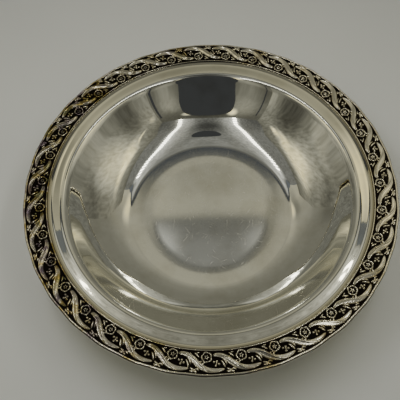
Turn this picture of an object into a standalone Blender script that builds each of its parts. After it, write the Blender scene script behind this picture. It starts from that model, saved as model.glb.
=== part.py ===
"""Silver-plated bowl with an applied floral border, as separate soldered pieces.

The bowl stands on the plane z = 0, with its axis on the z axis. Every size is in metres.
A spun body carries a cast border on the edge of its flange and a drawn ring under its floor,
and three thin rings of solder hold them.
"""

import math

import bmesh
import bpy

# Overall sizes
RIM_RADIUS = 0.120
BORDER_WIDTH = 0.0154
FLANGE_WIDTH = 0.0101
SHEET_THICKNESS = 0.0009
JOINT_GAP = 0.0003

# Well of the spun body: how deep its floor lies under the lip, and how its wall curves.
# Each station is a share of the lip's radius, the slope of the wall there in degrees, and the
# number of facets that lead up to it.
WELL_DEPTH = 0.0320
FLOOR_RADIUS_SHARE = 0.408
WELL_STATION_SHARES = (
    (FLOOR_RADIUS_SHARE, 0.0, 1),
    (0.445, 4.3, 1),
    (0.551, 7.2, 2),
    (0.740, 31.5, 4),
    (0.968, 51.0, 4),
    (1.000, 9.0, 4),
)

# Flange between the lip and the border
FLANGE_RISE = 0.0017
FLANGE_HOLLOW = 0.0001
GROOVE_WIDTH = 0.0012
GROOVE_DEPTH = 0.0002

# Cast border: a wire on its inner side, leaves and flowers, and an edge that turns down
BEAD_WIDTH = 0.0008
BEAD_HEIGHT = 0.0006
BORDER_BASE = 0.0006
LEAF_HEIGHT = 0.0012
FLOWER_HEIGHT = 0.0009
FLOWER_RADIUS = 0.0034
BERRY_HEIGHT = 0.0007
BERRY_RADIUS = 0.0024
BUD_HEIGHT = 0.0006
BUD_RADIUS = 0.0020
EDGE_WIDTH = 0.0020
EDGE_RISE = 0.0002
EDGE_ROUND = 0.0008
EDGE_DROP = 0.0031
EDGE_BEVEL = 0.0003
LIP_WALL = 0.0024
REPEATS = 35
FIRST_FLOWER_DEGREES = -10.0

# One repeat of the border. Each row is a share of the way from the bead to the edge, then the
# left and right sides of the leaf there as shares of a repeat, clockwise from the flower, and
# the leaf's height there as a share of its full height.
LEAF_ROW_SHARES = (
    (0.000, 0.470, 0.750, 0.00),
    (0.095, 0.410, 0.790, 0.75),
    (0.220, 0.335, 0.760, 0.90),
    (0.350, 0.255, 0.510, 1.00),
    (0.490, 0.165, 0.400, 1.00),
    (0.635, 0.060, 0.300, 1.00),
    (0.760, -0.135, 0.205, 0.90),
    (0.865, -0.440, 0.080, 0.60),
    (1.000, -0.350, 0.000, 0.00),
)
LEAF_SHOULDER_SHARE = 0.28
RECESS_COLUMNS = 3

# Centres of the flower, the berries, the fronds and the buds, in the same two shares
FLOWER_SHARES = (0.00, 0.255)
BERRY_SHARES = (-0.30, 0.540)
FROND_SHARES = (0.47, 0.570)
OUTER_BUD_SHARES = (0.29, 0.840)
INNER_BUD_SHARES = (0.22, 0.130)

# Drawn ring under the floor
FOOT_HEIGHT = 0.0082
FOOT_WALL = 0.0010
FOOT_INSET = 0.0004
FOOT_FLARE = 0.0050
FOOT_BEAD_HEIGHT = 0.0020
FOOT_BEAD_WIDTH = 0.0026
FOOT_SOLE_SHARE = 0.70
FOOT_CURVE_STEPS = 3

# Solder
SOLDER_LEG = 0.0009

# Facets
TURNED_SEGMENTS = 2 * REPEATS
MERGE_DISTANCE = 0.00001
SMOOTH_DEGREES = 32.0

# Radii and heights that follow
BORDER_INNER_RADIUS = RIM_RADIUS - BORDER_WIDTH
LIP_RADIUS = BORDER_INNER_RADIUS - FLANGE_WIDTH
FLOOR_RADIUS = FLOOR_RADIUS_SHARE * LIP_RADIUS
FLANGE_EDGE_RADIUS = RIM_RADIUS - LIP_WALL
FLOOR_UNDERSIDE = FOOT_HEIGHT + JOINT_GAP
FLOOR_TOP = FLOOR_UNDERSIDE + SHEET_THICKNESS
LIP_TOP = FLOOR_TOP + WELL_DEPTH
SEAT_TOP = LIP_TOP + FLANGE_RISE
BORDER_UNDERSIDE = SEAT_TOP + JOINT_GAP
RECESS_TOP = BORDER_UNDERSIDE + BORDER_BASE


def material(name, colour, roughness):
    """Return a metal with a base colour and a roughness."""
    metal = bpy.data.materials.new(name)
    metal.use_nodes = True
    shader = metal.node_tree.nodes["Principled BSDF"]
    shader.inputs["Base Color"].default_value = (*colour, 1.0)
    shader.inputs["Metallic"].default_value = 1.0
    shader.inputs["Roughness"].default_value = roughness
    metal.diffuse_color = (*colour, 1.0)
    return metal


def finish_object(name, mesh, metal):
    """Put a mesh in the scene as a named object with its metal."""
    mesh.materials.append(metal)
    thing = bpy.data.objects.new(name, mesh)
    bpy.context.scene.collection.objects.link(thing)
    return thing


def turned_piece(name, outline, metal, closed=True):
    """Turn an outline of (radius, height) points round the z axis.

    The outline runs up the inner side and down the outer side. A closed outline makes a ring,
    and an open one starts and ends on the axis.
    """
    mesh = bpy.data.meshes.new(name)
    points = [(radius, 0.0, height) for radius, height in outline]
    edges = [(index, index + 1) for index in range(len(points) - 1)]
    if closed:
        edges.append((len(points) - 1, 0))
    mesh.from_pydata(points, edges, [])
    thing = finish_object(name, mesh, metal)
    turn = thing.modifiers.new("Turned", "SCREW")
    turn.axis = "Z"
    turn.angle = math.tau
    turn.steps = TURNED_SEGMENTS
    turn.render_steps = TURNED_SEGMENTS
    turn.use_merge_vertices = True
    turn.merge_threshold = MERGE_DISTANCE
    turn.use_smooth_shade = True
    return thing


def well_curve():
    """Return the inside of the well as (radius, height) from the floor's edge to the lip.

    Between two stations the wall is a round arc: the sine of its slope grows evenly with the
    radius, and the chord of an arc leans at the mean of the slopes at its ends.
    """
    radius = WELL_STATION_SHARES[0][0] * LIP_RADIUS
    slope = math.radians(WELL_STATION_SHARES[0][1])
    raw = [(radius, 0.0)]
    for end_share, end_degrees, steps in WELL_STATION_SHARES[1:]:
        start_radius = radius
        start_sine = math.sin(slope)
        end_radius = end_share * LIP_RADIUS
        end_sine = math.sin(math.radians(end_degrees))
        for step in range(1, steps + 1):
            part = step / steps
            next_radius = start_radius + part * (end_radius - start_radius)
            next_slope = math.asin(start_sine + part * (end_sine - start_sine))
            rise = (next_radius - radius) * math.tan((slope + next_slope) / 2)
            raw.append((next_radius, raw[-1][1] + rise))
            radius = next_radius
            slope = next_slope
    stretch = WELL_DEPTH / raw[-1][1]
    return [(radius, FLOOR_TOP + rise * stretch) for radius, rise in raw]


def flange_curve():
    """Return the top of the flange as (radius, height), from outside the lip to its edge."""
    groove_inner = BORDER_INNER_RADIUS - GROOVE_WIDTH
    span = groove_inner - LIP_RADIUS
    return [
        (LIP_RADIUS + span / 2, (LIP_TOP + SEAT_TOP) / 2 - FLANGE_HOLLOW),
        (groove_inner, SEAT_TOP),
        (groove_inner + GROOVE_WIDTH / 2, SEAT_TOP - GROOVE_DEPTH),
        (BORDER_INNER_RADIUS, SEAT_TOP),
        (FLANGE_EDGE_RADIUS, SEAT_TOP),
    ]


def offset_down(curve, distance):
    """Return a curve of (radius, height) points moved square to itself, down and outwards."""
    moved = []
    for index, (radius, height) in enumerate(curve):
        before = curve[max(index - 1, 0)]
        after = curve[min(index + 1, len(curve) - 1)]
        run = after[0] - before[0]
        rise = after[1] - before[1]
        length = math.hypot(run, rise)
        moved.append((radius + distance * rise / length, height - distance * run / length))
    return moved


def make_body(metal):
    """Spin the body: floor, well, lip and flange, one sheet thick."""
    well = well_curve()
    flange = flange_curve()
    inside = [(0.0, FLOOR_TOP)] + well + flange
    under_well = offset_down([(0.0, FLOOR_TOP)] + well + flange[:1], SHEET_THICKNESS)[1:-1]
    under_flange = (BORDER_INNER_RADIUS - GROOVE_WIDTH, SEAT_TOP - SHEET_THICKNESS)
    under_edge = (FLANGE_EDGE_RADIUS, SEAT_TOP - SHEET_THICKNESS)
    underside = [(0.0, FLOOR_UNDERSIDE)] + under_well + [under_flange, under_edge]
    outline = inside + underside[::-1]
    return turned_piece("bowl_body", outline, metal, closed=False)


def bump(offset, across, centre_shares, radius, height):
    """Return the height of a round boss at a place of the border.

    offset is the place's share of a repeat, and across its share of the band's width.
    """
    band = band_width()
    turns = offset - centre_shares[0]
    turns = turns - round(turns)
    along = turns * math.tau / REPEATS * (band_inner_radius() + across * band)
    out = (across - centre_shares[1]) * band
    distance = math.hypot(along, out) / radius
    return height * max(0.0, 1.0 - distance * distance)


def band_inner_radius():
    """Return the radius where the relief starts, just outside the bead."""
    return BORDER_INNER_RADIUS + BEAD_WIDTH


def band_width():
    """Return the width of the relief, from the bead to the edge."""
    return RIM_RADIUS - EDGE_WIDTH - band_inner_radius()


def recess_height(offset, across):
    """Return the height of the ground between the leaves, with its flower, berries and buds."""
    bosses = (
        bump(offset, across, FLOWER_SHARES, FLOWER_RADIUS, FLOWER_HEIGHT),
        bump(offset, across, BERRY_SHARES, BERRY_RADIUS, BERRY_HEIGHT),
        bump(offset, across, FROND_SHARES, BUD_RADIUS, BUD_HEIGHT),
        bump(offset, across, OUTER_BUD_SHARES, BUD_RADIUS, BUD_HEIGHT),
        bump(offset, across, INNER_BUD_SHARES, BUD_RADIUS, BUD_HEIGHT),
    )
    return RECESS_TOP + max(bosses)


def relief_row(across, left, right, crown):
    """Return one row of the relief: (share of a repeat, height) for each column of a repeat."""
    shoulder = (right - left) * LEAF_SHOULDER_SHARE
    crest = RECESS_TOP + LEAF_HEIGHT * crown
    row = [
        (left, RECESS_TOP),
        (left + shoulder, crest),
        (right - shoulder, crest),
        (right, RECESS_TOP),
    ]
    for column in range(1, RECESS_COLUMNS + 1):
        offset = right + (left + 1.0 - right) * column / (RECESS_COLUMNS + 1)
        height = recess_height(offset, across) if 0.0 < across < 1.0 else RECESS_TOP
        row.append((offset, height))
    return row


def flower_angle(offset):
    """Return the angle of a share of a repeat, clockwise from the first flower."""
    return math.radians(FIRST_FLOWER_DEGREES) - offset * math.tau / REPEATS


def patterned_ring(shape, radius, row):
    """Add one ring of points that follow the pattern, and return them with their angles."""
    ring = []
    for repeat in range(REPEATS):
        for offset, height in row:
            angle = flower_angle(repeat + offset)
            place = (radius * math.cos(angle), radius * math.sin(angle), height)
            ring.append((angle, shape.verts.new(place)))
    return ring


def plain_ring(shape, radius, height):
    """Add one ring of evenly turned points, clockwise from the x axis, with their angles."""
    ring = []
    for index in range(TURNED_SEGMENTS):
        angle = -index * math.tau / TURNED_SEGMENTS
        place = (radius * math.cos(angle), radius * math.sin(angle), height)
        ring.append((angle, shape.verts.new(place)))
    return ring


def bridge_even(shape, inner, outer):
    """Join two rings with the same number of points."""
    count = len(inner)
    for index in range(count):
        after = (index + 1) % count
        corners = (inner[index], inner[after], outer[after], outer[index])
        shape.faces.new([vertex for angle, vertex in corners])


def bridge_uneven(shape, inner, outer):
    """Join two rings with unlike numbers of points by a band of triangles.

    Both rings run clockwise. The band takes the next point of whichever ring comes first.
    """
    start = inner[0][0]
    outer = sorted(outer, key=lambda pair: (start - pair[0]) % math.tau)
    steps = []
    for side, ring in enumerate((inner, outer)):
        turns = [(start - angle) % math.tau for angle, vertex in ring]
        turns.append(turns[0] + math.tau)
        steps += [(turn, side) for turn in turns[1:]]
    rings = (inner, outer)
    places = [0, 0]
    for turn, side in sorted(steps):
        here = [ring[place % len(ring)][1] for ring, place in zip(rings, places)]
        places[side] += 1
        after = rings[side][places[side] % len(rings[side])][1]
        shape.faces.new((here[0], here[1], after))


def make_border(metal):
    """Cast the border: bead, relief of leaves and flowers, and the edge that turns down."""
    shape = bmesh.new()
    first_row = relief_row(*LEAF_ROW_SHARES[0])
    bead_top = BORDER_UNDERSIDE + BEAD_HEIGHT
    edge_top = RECESS_TOP + EDGE_RISE
    bead_row = [(offset, bead_top) for offset, height in first_row]
    patterned = [patterned_ring(shape, BORDER_INNER_RADIUS + BEAD_WIDTH / 2, bead_row)]
    for shares in LEAF_ROW_SHARES:
        radius = band_inner_radius() + shares[0] * band_width()
        patterned.append(patterned_ring(shape, radius, relief_row(*shares)))
    last_row = relief_row(*LEAF_ROW_SHARES[-1])
    edge_row = [(offset, edge_top) for offset, height in last_row]
    patterned.append(patterned_ring(shape, RIM_RADIUS - EDGE_ROUND, edge_row))
    edge_bottom = edge_top - EDGE_DROP
    lip_inner_radius = FLANGE_EDGE_RADIUS + JOINT_GAP
    plain = [
        plain_ring(shape, RIM_RADIUS, edge_top - EDGE_ROUND),
        plain_ring(shape, RIM_RADIUS, edge_bottom + EDGE_BEVEL),
        plain_ring(shape, RIM_RADIUS - EDGE_BEVEL, edge_bottom),
        plain_ring(shape, lip_inner_radius, edge_bottom),
        plain_ring(shape, lip_inner_radius, BORDER_UNDERSIDE),
        plain_ring(shape, BORDER_INNER_RADIUS, BORDER_UNDERSIDE),
    ]
    for inner, outer in zip(patterned, patterned[1:]):
        bridge_even(shape, inner, outer)
    for inner, outer in zip(plain, plain[1:]):
        bridge_even(shape, inner, outer)
    bridge_uneven(shape, patterned[-1], plain[0])
    bridge_uneven(shape, plain[-1], patterned[0])
    bmesh.ops.recalc_face_normals(shape, faces=shape.faces)
    bmesh.ops.triangulate(shape, faces=shape.faces)
    mesh = bpy.data.meshes.new("rim_border")
    shape.to_mesh(mesh)
    shape.free()
    mesh.shade_smooth()
    mesh.set_sharp_from_angle(angle=math.radians(SMOOTH_DEGREES))
    return finish_object("rim_border", mesh, metal)


def foot_seat_radius():
    """Return the outer radius of the foot ring's top edge, on the flat of the floor."""
    return FLOOR_RADIUS - FOOT_INSET


def make_foot(metal):
    """Draw the foot ring: a flared wall with a thick rounded edge that is flat below."""
    seat = foot_seat_radius()
    outer = [(seat, FOOT_HEIGHT)]
    inner = [(seat - FOOT_WALL, FOOT_HEIGHT)]
    wall_height = FOOT_HEIGHT - FOOT_BEAD_HEIGHT
    for step in range(1, FOOT_CURVE_STEPS + 1):
        angle = step / FOOT_CURVE_STEPS * math.pi / 2
        out_share = 1.0 - math.cos(angle)
        radius = seat + FOOT_FLARE * out_share
        height = FOOT_HEIGHT - wall_height * math.sin(angle)
        outer.append((radius, height))
        inner.append((radius - FOOT_WALL, height - FOOT_WALL * out_share / 2))
    bead_outer = seat + FOOT_FLARE + FOOT_WALL
    bead_inner = bead_outer - FOOT_BEAD_WIDTH
    sole = FOOT_BEAD_WIDTH * (1.0 - FOOT_SOLE_SHARE) / 2
    outer.append((bead_outer, FOOT_BEAD_HEIGHT / 2))
    outer.append((bead_outer - sole, 0.0))
    inner.append((bead_inner + sole, 0.0))
    outline = inner[::-1] + outer
    return turned_piece("foot_ring", outline, metal)


def make_solder(name, corner, along, down, metal):
    """Run a ring of solder of triangular section into a corner.

    along is the signed leg on the sheet, away from the corner, and down the leg on the wall.
    """
    radius, height = corner
    outline = [(radius + along, height), (radius, height), (radius, height - down)]
    if along > 0:
        outline = [(radius, height - down), (radius, height), (radius + along, height)]
    return turned_piece(name, outline, metal)


def make_bowl():
    """Build every piece of the bowl."""
    silver = material("Silver plate", (0.80, 0.78, 0.74), 0.12)
    oxidised = material("Oxidised silver plate", (0.42, 0.38, 0.31), 0.38)
    solder = material("Soft solder", (0.46, 0.46, 0.45), 0.42)
    make_body(silver)
    make_border(oxidised)
    make_foot(silver)
    seat = foot_seat_radius()
    solder_top = FLOOR_UNDERSIDE - JOINT_GAP
    outer_corner = (seat + JOINT_GAP, solder_top)
    inner_corner = (seat - FOOT_WALL - JOINT_GAP, solder_top)
    rim_corner = (FLANGE_EDGE_RADIUS, SEAT_TOP - SHEET_THICKNESS - JOINT_GAP)
    make_solder("foot_solder_outer", outer_corner, SOLDER_LEG, SOLDER_LEG, solder)
    make_solder("foot_solder_inner", inner_corner, -SOLDER_LEG, SOLDER_LEG, solder)
    make_solder("rim_solder", rim_corner, -SOLDER_LEG, SOLDER_LEG, solder)


for leftover in list(bpy.data.objects):
    bpy.data.objects.remove(leftover)
make_bowl()
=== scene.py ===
"""Looks of a silver-plated bowl with a floral border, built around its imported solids.

The bowl stands on the plane z = 0 with its axis on the z axis, in metres. A spun body, a cast
border of leaves and flowers, a drawn foot ring and three rings of solder are dressed here, and
a plain light tent with two strips of small lamps gives the metal something to mirror.
"""

import logging
import math
from collections.abc import Callable
from dataclasses import dataclass
from enum import Enum

import bmesh
import bpy
from bmesh.types import BMVert
from bpy.types import Material, Mesh, Modifier, Node, NodeSocket, NodeTree, Object
from mathutils import Matrix, Vector


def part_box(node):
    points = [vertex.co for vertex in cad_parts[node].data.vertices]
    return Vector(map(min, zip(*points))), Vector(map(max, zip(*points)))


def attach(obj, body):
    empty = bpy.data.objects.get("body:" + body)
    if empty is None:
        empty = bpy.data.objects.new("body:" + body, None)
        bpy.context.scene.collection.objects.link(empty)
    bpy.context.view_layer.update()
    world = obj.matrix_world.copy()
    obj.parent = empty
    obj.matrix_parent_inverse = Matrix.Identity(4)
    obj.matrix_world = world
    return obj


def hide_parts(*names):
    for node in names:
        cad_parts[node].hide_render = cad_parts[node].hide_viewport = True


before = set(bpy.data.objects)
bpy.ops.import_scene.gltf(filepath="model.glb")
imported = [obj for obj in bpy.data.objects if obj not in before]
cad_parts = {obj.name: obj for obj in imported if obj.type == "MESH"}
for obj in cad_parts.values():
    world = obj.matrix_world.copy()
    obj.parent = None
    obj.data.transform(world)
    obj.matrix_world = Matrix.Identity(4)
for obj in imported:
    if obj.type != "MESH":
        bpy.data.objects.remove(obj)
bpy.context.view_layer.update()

MM = 0.001
BODY = "root"
OUTER_MM = 120.0
# A relief's edge goes this share of its height into the ground, with no polish.
SKIRT = (-0.25, 0.0)
EDGE_SHARE = 0.999
STEM_POWER = 2.6
STEM_POLISH = 1.5
TURNED = "Turned"
REPEATED = "Repeated round the rim"
Point = tuple[float, float, float]
Stations = tuple[tuple[float, ...], ...]
Share = tuple[float, float]

logging.basicConfig(level=logging.INFO, format="%(message)s")
log = logging.getLogger("bowl")


class Slot(Enum):
    """Names of the record's finish slots."""

    POLISHED = "polished_plate"
    OXIDISED = "oxidised_plate"


class Wall(Enum):
    """Sides of the light tent."""

    LEFT = "left"
    RIGHT = "right"
    FRONT = "front"
    BACK = "back"


def linear(colour: str) -> tuple[float, float, float, float]:
    """Turn an sRGB hex colour into linear values, by the sRGB standard's own curve.

    Args:
        colour: Six hex digits after a hash sign.

    Returns:
        Red, green, blue and an alpha of one.
    """
    values = [int(colour[place : place + 2], 16) / 255 for place in (1, 3, 5)]
    turned = [v / 12.92 if v <= 0.04045 else ((v + 0.055) / 1.055) ** 2.4 for v in values]
    return (*turned, 1.0)


def per_metre(size_mm: float) -> float:
    """Give the noise scale whose features are about this many millimetres wide."""
    return 1.0 / (size_mm * MM)


def add_node(tree: NodeTree, kind: str, values: dict | tuple = (), **settings: object) -> Node:
    """Add a node to a tree with its settings, values and links.

    Args:
        tree: The tree that gets the node.
        kind: The node's type name.
        values: Values by input name or number, or those of the first inputs in order. Each is a
            plain value or the socket to link from, and a node stands for its first output. A
            range's inputs are its value, then both ends to read from, then both ends to give.
        **settings: Properties of the node itself.

    Returns:
        The new node.
    """
    node = tree.nodes.new(kind)
    for name, setting in settings.items():
        setattr(node, name, setting)
    for name, value in values.items() if isinstance(values, dict) else enumerate(values):
        source = value.outputs[0] if isinstance(value, Node) else value
        if isinstance(source, NodeSocket):
            tree.links.new(source, node.inputs[name])
        else:
            node.inputs[name].default_value = source
    return node


def new_material(name: str) -> tuple[Material, NodeTree]:
    """Make a material with an empty node tree.

    Args:
        name: The finish's name.

    Returns:
        The material and its tree.
    """
    material = bpy.data.materials.new(name)
    material.use_nodes = True
    material.node_tree.nodes.clear()
    return material, material.node_tree


def end_metal(tree: NodeTree, colour: NodeSocket, roughness: object, bump: Node) -> None:
    """End a metal's tree with its shader.

    Args:
        tree: The tree.
        colour: Its colour.
        roughness: A node that gives its roughness, or one number.
        bump: Its bump.
    """
    values = {"Base Color": colour, "Metallic": 1.0, "Roughness": roughness, "Normal": bump}
    shader = add_node(tree, "ShaderNodeBsdfPrincipled", values)
    add_node(tree, "ShaderNodeOutputMaterial", {"Surface": shader})


def end_light(tree: NodeTree, colour: object, strength: object) -> None:
    """End a glowing card's tree.

    Args:
        tree: The tree.
        colour: A socket that gives its colour, or one linear colour.
        strength: A node that gives its brightness, or one number.
    """
    light = add_node(tree, "ShaderNodeEmission", {"Color": colour, "Strength": strength})
    add_node(tree, "ShaderNodeOutputMaterial", {"Surface": light})


def link_object(name: str, mesh: Mesh) -> Object:
    """Put a mesh in the scene as an object at the origin."""
    thing = bpy.data.objects.new(name, mesh)
    bpy.context.scene.collection.objects.link(thing)
    return thing


def set_inputs(modifier: Modifier, values: dict[str, object]) -> None:
    """Set a node modifier's inputs by their sockets' identifiers.

    Args:
        modifier: The modifier that holds the tree.
        values: Input names of the tree, each with its value.
    """
    for name, value in values.items():
        socket = modifier.node_group.interface.items_tree[name]
        modifier[socket.identifier] = value


def bake_nodes(holder: Object, name: str, sharp_degrees: float) -> Object:
    """Turn what a node modifier makes into a plain, closed and outward-facing mesh object.

    Args:
        holder: The object that carries the modifier. It is removed.
        name: The finished piece's name.
        sharp_degrees: The angle past which an edge is drawn sharp.

    Returns:
        The finished piece at the origin, with no modifier.
    """
    graph = bpy.context.evaluated_depsgraph_get()
    made = bpy.data.meshes.new_from_object(holder.evaluated_get(graph), depsgraph=graph)
    made.name = name
    bpy.data.objects.remove(holder)
    shape = bmesh.new()
    shape.from_mesh(made)
    bmesh.ops.recalc_face_normals(shape, faces=shape.faces)
    shape.to_mesh(made)
    shape.free()
    made.shade_smooth()
    made.set_sharp_from_angle(angle=math.radians(sharp_degrees))
    return link_object(name, made)


def spline_point(points: Stations, place: float) -> tuple[float, ...]:
    """Read a smooth curve through a list of points.

    Args:
        points: The points, each a tuple of the same length.
        place: From 0 at the first point to 1 at the last.

    Returns:
        The point there, on a Catmull-Rom curve.
    """
    last = len(points) - 1
    position = place * last
    index = min(int(position), last - 1)
    part = position - index
    before = points[max(index - 1, 0)]
    start, end = points[index], points[index + 1]
    after = points[min(index + 2, last)]
    result = []
    for p0, p1, p2, p3 in zip(before, start, end, after):
        linear_term = (p2 - p0) * part
        square_term = (2 * p0 - 5 * p1 + 4 * p2 - p3) * part**2
        cube_term = (3 * p1 - p0 - 3 * p2 + p3) * part**3
        result.append(p1 + (linear_term + square_term + cube_term) / 2)
    return tuple(result)


def bump_at(place: float, centre: float, width: float) -> float:
    """Give a smooth bump that is one at its centre and dies away over about two widths."""
    return math.exp(-(((place - centre) / width) ** 2))


@dataclass(frozen=True)
class LeafSection:
    """The section of a long leaf: a crest, a shallow valley and a raised outer rim.

    Places and widths are shares of the half width, and rises are shares of the leaf's height.
    What is worn there is a gain in polish and its width.
    """

    base: float = 0.3
    swell: float = 0.32
    crest_rise: float = 0.36
    crest_width: float = 0.24
    crest_worn: Share = (0.46, 0.3)
    rim_place: float = 0.74
    rim_rise: float = 0.2
    rim_width: float = 0.16
    rim_worn: Share = (0.36, 0.18)
    vein_place: float = -0.78
    vein_rise: float = 0.12
    vein_width: float = 0.14
    worn: float = 0.54
    black_edge: float = 0.1

    def at(self, share: float, fold: float) -> Share:
        """Give the section at one place.

        Args:
            share: Place across the leaf, from -1 at its inner edge to 1 at its outer edge.
            fold: Place of the crest.

        Returns:
            The share of the leaf's height, and the polish.
        """
        side = abs(share)
        if side > EDGE_SHARE:
            return SKIRT
        relief = self.base + self.swell * (1.0 - side**2)
        relief += self.crest_rise * bump_at(share, fold, self.crest_width)
        relief += self.rim_rise * bump_at(share, self.rim_place, self.rim_width)
        relief += self.vein_rise * bump_at(share, self.vein_place, self.vein_width)
        worn = self.worn + self.crest_worn[0] * bump_at(share, fold, self.crest_worn[1])
        worn += self.rim_worn[0] * bump_at(share, self.rim_place, self.rim_worn[1])
        blackened = min((1.0 - side) / self.black_edge, 1.0)
        return relief * math.sqrt(max(1.0 - side**5, 0.0)), min(worn, 1.0) * blackened


def round_stem(share: float, _fold: float) -> Share:
    """Give the section of a small rounded form, with the same arguments and result as a leaf's."""
    if abs(share) > EDGE_SHARE:
        return SKIRT
    height = math.sqrt(max(1.0 - abs(share) ** STEM_POWER, 0.0))
    return height, min(height * STEM_POLISH, 1.0)


def arc(centre: Share, radius: float, start: float, end: float, steps: int) -> list[Share]:
    """List points along an arc of an outline.

    Args:
        centre: The arc's centre as (radius, height).
        radius: The arc's own radius.
        start: The start angle in degrees, from the outward direction towards up.
        end: The end angle in degrees.
        steps: How many steps the arc takes.

    Returns:
        The points, with both ends.
    """
    turns = [math.radians(start + (end - start) * step / steps) for step in range(steps + 1)]
    return [(centre[0] + radius * math.cos(turn), centre[1] + radius * math.sin(turn)) for turn in turns]


def new_tree(name: str, inputs: dict[str, str]) -> NodeTree:
    """Start a geometry tree.

    Args:
        name: The tree's name.
        inputs: The names of its inputs, each with its socket's kind.

    Returns:
        The tree, with its inputs and one output.
    """
    tree = bpy.data.node_groups.new(name, "GeometryNodeTree")
    for label, kind in inputs.items():
        tree.interface.new_socket(label, in_out="INPUT", socket_type="NodeSocket" + kind)
    tree.interface.new_socket("Piece", in_out="OUTPUT", socket_type="NodeSocketGeometry")
    return tree


def end_tree(tree: NodeTree, made: Node, finish: NodeSocket) -> None:
    """End a geometry tree with real geometry in its finish.

    Args:
        tree: The tree.
        made: The node that makes the geometry.
        finish: The socket that gives the finish.
    """
    whole = add_node(tree, "GeometryNodeRealizeInstances", {"Geometry": made})
    dressed = add_node(tree, "GeometryNodeSetMaterial", {"Geometry": whole, "Material": finish})
    add_node(tree, "NodeGroupOutput", (dressed,))


def turned_tree() -> NodeTree:
    """Build the tree that turns an outline round the z axis.

    The outline's points hold their radius in x and their height in z. A wave may pull the
    points past a radius inwards, in step with the border's repeats.

    Returns:
        The tree, with named inputs.
    """
    inputs = {"Outline": "Geometry", "Segments": "Int", "Wave count": "Int", "Finish": "Material"}
    for label in ("Wave start", "Wave height", "Wave from radius", "Wave to radius", "Merge distance"):
        inputs[label] = "Float"
    tree = new_tree(TURNED, inputs)
    given = add_node(tree, "NodeGroupInput").outputs
    size = add_node(tree, "GeometryNodeAttributeDomainSize", {"Geometry": given["Outline"]})
    columns = add_node(tree, "ShaderNodeMath", (given["Segments"], 1.0), operation="ADD")
    counts = {"Vertices X": size.outputs["Point Count"], "Vertices Y": columns}
    grid = add_node(tree, "GeometryNodeMeshGrid", counts)
    index = add_node(tree, "GeometryNodeInputIndex")
    ratio = add_node(tree, "ShaderNodeMath", (index, columns), operation="DIVIDE")
    row = add_node(tree, "ShaderNodeMath", (ratio,), operation="FLOOR")
    column = add_node(tree, "ShaderNodeMath", (index, columns), operation="MODULO")
    place = add_node(tree, "GeometryNodeInputPosition")
    sample = add_node(
        tree, "GeometryNodeSampleIndex", {"Geometry": given["Outline"], "Value": place, "Index": row},
        data_type="FLOAT_VECTOR", domain="POINT"
    )
    parts = add_node(tree, "ShaderNodeSeparateXYZ", (sample,)).outputs
    step = add_node(tree, "ShaderNodeMath", (math.tau, given["Segments"]), operation="DIVIDE")
    angle = add_node(tree, "ShaderNodeMath", (column, step), operation="MULTIPLY")
    ahead = add_node(tree, "ShaderNodeMath", (angle, given["Wave start"]), operation="SUBTRACT")
    phase = add_node(tree, "ShaderNodeMath", (ahead, given["Wave count"]), operation="MULTIPLY")
    swing = add_node(tree, "ShaderNodeMath", (phase,), operation="COSINE")
    depth = add_node(tree, "ShaderNodeMapRange", (swing, -1.0, 1.0, 1.0, 0.0))
    rim = (parts["X"], given["Wave from radius"], given["Wave to radius"])
    reach = add_node(tree, "ShaderNodeMapRange", rim, interpolation_type="SMOOTHSTEP")
    pull = add_node(tree, "ShaderNodeMath", (depth, reach), operation="MULTIPLY")
    shift = add_node(tree, "ShaderNodeMath", (pull, given["Wave height"]), operation="MULTIPLY")
    radius = add_node(tree, "ShaderNodeMath", (parts["X"], shift), operation="SUBTRACT")
    level = []
    for operation in ("COSINE", "SINE"):
        turn = add_node(tree, "ShaderNodeMath", (angle,), operation=operation)
        level.append(add_node(tree, "ShaderNodeMath", (radius, turn), operation="MULTIPLY"))
    point = add_node(tree, "ShaderNodeCombineXYZ", (*level, parts["Z"]))
    moved = {"Geometry": grid.outputs["Mesh"], "Position": point}
    turned = add_node(tree, "GeometryNodeSetPosition", moved)
    seam = {"Geometry": turned, "Distance": given["Merge distance"]}
    end_tree(tree, add_node(tree, "GeometryNodeMergeByDistance", seam), given["Finish"])
    return tree


def repeated_tree() -> NodeTree:
    """Build the tree that repeats one motif round the z axis.

    Returns:
        The tree, with named inputs. The random shift between copies has a fixed seed.
    """
    inputs = {"Holder": "Geometry", "Motif": "Object", "Count": "Int", "First angle": "Float"}
    tree = new_tree(REPEATED, inputs | {"Shift": "Float", "Seed": "Int", "Finish": "Material"})
    given = add_node(tree, "NodeGroupInput").outputs
    points = add_node(tree, "GeometryNodePoints", {"Count": given["Count"]})
    index = add_node(tree, "GeometryNodeInputIndex")
    step = add_node(tree, "ShaderNodeMath", (-math.tau, given["Count"]), operation="DIVIDE")
    turn = add_node(tree, "ShaderNodeMath", (index, step), operation="MULTIPLY")
    start = add_node(tree, "ShaderNodeMath", (turn, given["First angle"]), operation="ADD")
    least = add_node(tree, "ShaderNodeMath", (given["Shift"], -1.0), operation="MULTIPLY")
    chance = add_node(tree, "FunctionNodeRandomValue", data_type="FLOAT")
    for name, value in (("Min", least.outputs[0]), ("Max", given["Shift"]), ("Seed", given["Seed"])):
        socket = next(s for s in chance.inputs if s.name == name and s.enabled)
        tree.links.new(value, socket)
    random_turn = next(s for s in chance.outputs if s.enabled)
    total = add_node(tree, "ShaderNodeMath", (start, random_turn), operation="ADD")
    rotation = add_node(tree, "ShaderNodeCombineXYZ", {2: total})
    motif = add_node(tree, "GeometryNodeObjectInfo", {"Object": given["Motif"]}, transform_space="ORIGINAL")
    placed = {"Points": points, "Instance": motif.outputs["Geometry"], "Rotation": rotation}
    end_tree(tree, add_node(tree, "GeometryNodeInstanceOnPoints", placed), given["Finish"])
    return tree


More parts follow.
